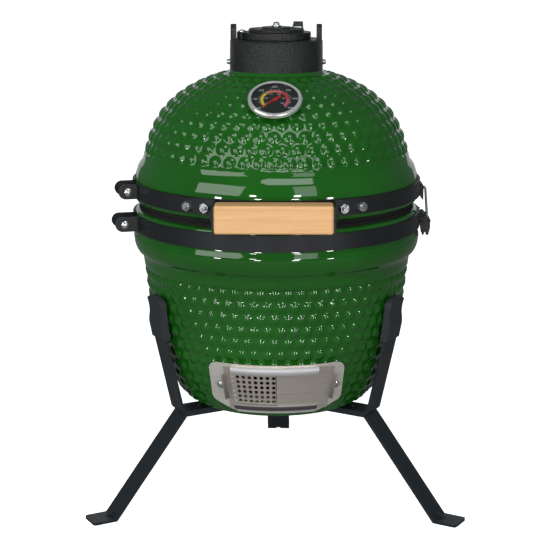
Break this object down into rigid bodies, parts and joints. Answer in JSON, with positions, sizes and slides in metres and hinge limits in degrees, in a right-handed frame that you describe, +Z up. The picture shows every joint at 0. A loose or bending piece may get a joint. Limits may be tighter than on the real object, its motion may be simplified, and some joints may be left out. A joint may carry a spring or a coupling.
{
  "type": "kamado grill",
  "caption": "Small green dimpled ceramic kamado grill with a hinged dome lid, wooden handle, dial thermometer, cast vent cap and sliding draft door, on low splayed steel legs.",
  "frame": {"origin": "point on the ground under the vertical axis of the ceramic body", "axes": "+Z up along the body's axis; the handle, thermometer and draft door face -Y; the latch is on the +X side and the lid's hinge at +Y"},
  "size_m": [0.4528, 0.4622, 0.5804],
  "materials": {
    "green_glaze": "thick glossy glaze over a dimpled surface",
    "felt_seal": "matt heat-proof felt",
    "black_powder_coat": "satin powder coat",
    "dark_fastener_steel": "dark zinc plate",
    "zinc_steel": "bright zinc plate",
    "grey_steel_strap": "grey plated steel",
    "black_rubber": "smooth matt",
    "brushed_stainless": "brushed",
    "black_cast_iron": "fine-grained satin black",
    "fire_clay": "unglazed",
    "bamboo_wood": "oiled, long grain",
    "polished_stainless": "satin polished",
    "dial_face": "dark, printed with a coloured scale",
    "clear_glass": "clear",
    "red_needle": "gloss"
  },
  "bodies": {
    "grill_base": {"base_shell": "green_glaze", "base_gasket": "felt_seal", "base_band": "black_powder_coat", "base_clamp_hardware": "zinc_steel", "fire_box": "fire_clay", "fire_ring": "fire_clay", "charcoal_grate": "black_cast_iron", "draft_frame": "brushed_stainless", "draft_frame_screws": "zinc_steel", "cradle_arm_front_left": "black_powder_coat", "cradle_arm_front_right": "black_powder_coat", "cradle_arm_rear": "black_powder_coat", "leg_front_left": "black_powder_coat", "leg_front_right": "black_powder_coat", "leg_rear": "black_powder_coat", "arm_pad_front_left": "black_rubber", "arm_pad_front_right": "black_rubber", "arm_pad_rear": "black_rubber", "stand_plate": "black_powder_coat", "stand_screws": "zinc_steel", "hinge_base_bracket": "black_powder_coat", "hinge_base_studs": "zinc_steel", "hinge_pin": "zinc_steel", "latch_base": "black_powder_coat", "latch_pivot_pin": "zinc_steel"},
    "lid": {"lid_shell": "green_glaze", "lid_gasket": "felt_seal", "lid_band": "black_powder_coat", "lid_clamp_hardware": "zinc_steel", "handle_bracket_left": "black_powder_coat", "handle_bracket_right": "black_powder_coat", "handle_grip": "bamboo_wood", "handle_studs": "zinc_steel", "handle_end_screws": "dark_fastener_steel", "thermometer_bezel": "polished_stainless", "thermometer_dial": "dial_face", "thermometer_lens": "clear_glass", "thermometer_stem": "polished_stainless", "thermometer_nut": "polished_stainless", "chimney_gasket": "felt_seal", "chimney_collar": "black_cast_iron", "collar_screws": "dark_fastener_steel", "slide_pivot_bolt": "dark_fastener_steel", "hinge_lid_bracket": "black_powder_coat", "hinge_lid_studs": "zinc_steel", "latch_keeper": "black_powder_coat"},
    "slide_disc": {"slide_disc": "black_cast_iron", "daisy_bolt": "dark_fastener_steel"},
    "daisy_wheel": {"daisy_wheel": "black_cast_iron"},
    "draft_screen": {"draft_screen": "brushed_stainless"},
    "draft_door": {"draft_door": "brushed_stainless"},
    "latch_lever": {"latch_lever": "black_powder_coat", "latch_bail_pin": "zinc_steel"},
    "latch_bail": {"latch_bail": "grey_steel_strap"},
    "needle": {"thermometer_needle": "red_needle"},
    "cooking_grate": {"cooking_grate": "black_cast_iron"}
  },
  "joints": [
    {"name": "lid_hinge", "type": "hinge", "parent": "grill_base", "child": "lid", "pos_m": [0, 0.197, 0.366], "axis": [-1, 0, 0], "range_deg": [0, 80]},
    {"name": "slide_disc_pivot", "type": "hinge", "parent": "lid", "child": "slide_disc", "pos_m": [-0.0405, 0, 0.5643], "axis": [0, 0, 1], "range_deg": [-40, 40]},
    {"name": "daisy_wheel_turn", "type": "hinge", "parent": "slide_disc", "child": "daisy_wheel", "pos_m": [0, 0, 0.5705], "axis": [0, 0, 1], "continuous": true},
    {"name": "draft_door_slide", "type": "hinge", "parent": "grill_base", "child": "draft_door", "pos_m": [0, 0, 0.167], "axis": [0, 0, 1], "range_deg": [-15, 0]},
    {"name": "draft_screen_slide", "type": "hinge", "parent": "grill_base", "child": "draft_screen", "pos_m": [0, 0, 0.167], "axis": [0, 0, 1], "range_deg": [0, 8.5]},
    {"name": "latch_lever_swing", "type": "hinge", "parent": "grill_base", "child": "latch_lever", "pos_m": [0.1772, 0, 0.3506], "axis": [0, -1, 0], "range_deg": [0, 100]},
    {"name": "latch_bail_swing", "type": "hinge", "parent": "latch_lever", "child": "latch_bail", "pos_m": [0.1826, 0, 0.343], "axis": [0, -1, 0], "range_deg": [-135, 0]},
    {"name": "needle_turn", "type": "hinge", "parent": "lid", "child": "needle", "pos_m": [0, -0.11799, 0.5012], "axis": [0, 0.5519, -0.8339], "range_deg": [0, 270]},
    {"name": "cooking_grate_lift", "type": "slide", "parent": "grill_base", "child": "cooking_grate", "axis": [0, 0, 1], "range_m": [0, 0.05]}
  ],
  "couplings": [
    {"joint": "latch_bail_swing", "follows": "latch_lever_swing", "ratio": -1.35}
  ]
}
